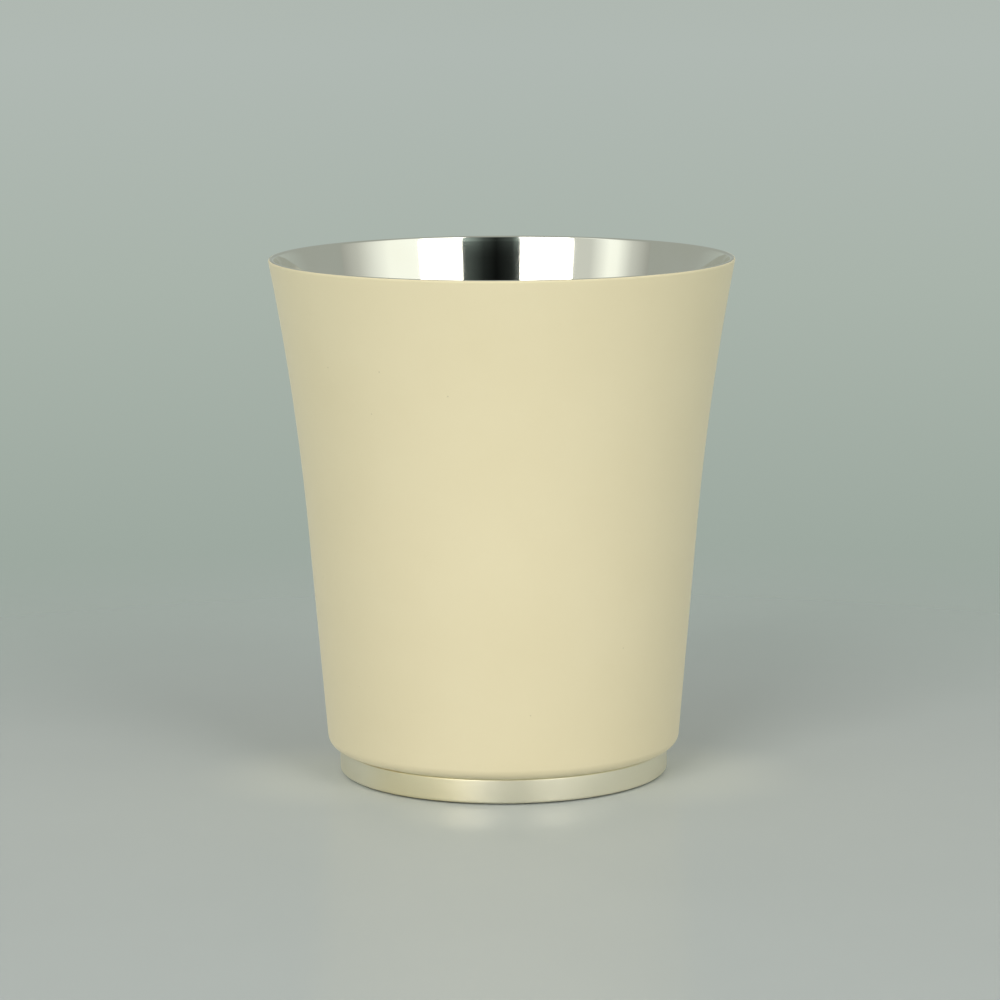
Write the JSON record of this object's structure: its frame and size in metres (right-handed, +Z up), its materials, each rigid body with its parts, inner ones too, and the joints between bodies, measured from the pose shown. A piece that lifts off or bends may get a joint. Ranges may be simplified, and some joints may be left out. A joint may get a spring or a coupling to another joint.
{
  "type": "metal beaker",
  "caption": "Flared double-walled metal drinking beaker: mirror-bright inner cup with a turned lip, matt cream lacquered outer shell with a rounded shoulder, low satin foot ring.",
  "frame": {"origin": "centre of the foot ring's underside, where the beaker stands on a table", "axes": "+Z up along the axis of the beaker, towards its mouth"},
  "size_m": [0.08, 0.08, 0.0897],
  "materials": {
    "bright_silver": "silver plate, polished to a mirror, fine spinning marks",
    "cream_lacquer": "matt cream lacquer, sprayed",
    "solder": "dull, slightly uneven",
    "satin_silver": "silver plate, turned to a satin finish"
  },
  "bodies": {
    "root": {"inner_cup": "bright_silver", "outer_shell": "cream_lacquer", "foot_solder": "solder", "foot_ring": "satin_silver", "base_disc": "satin_silver"}
  },
  "joints": []
}
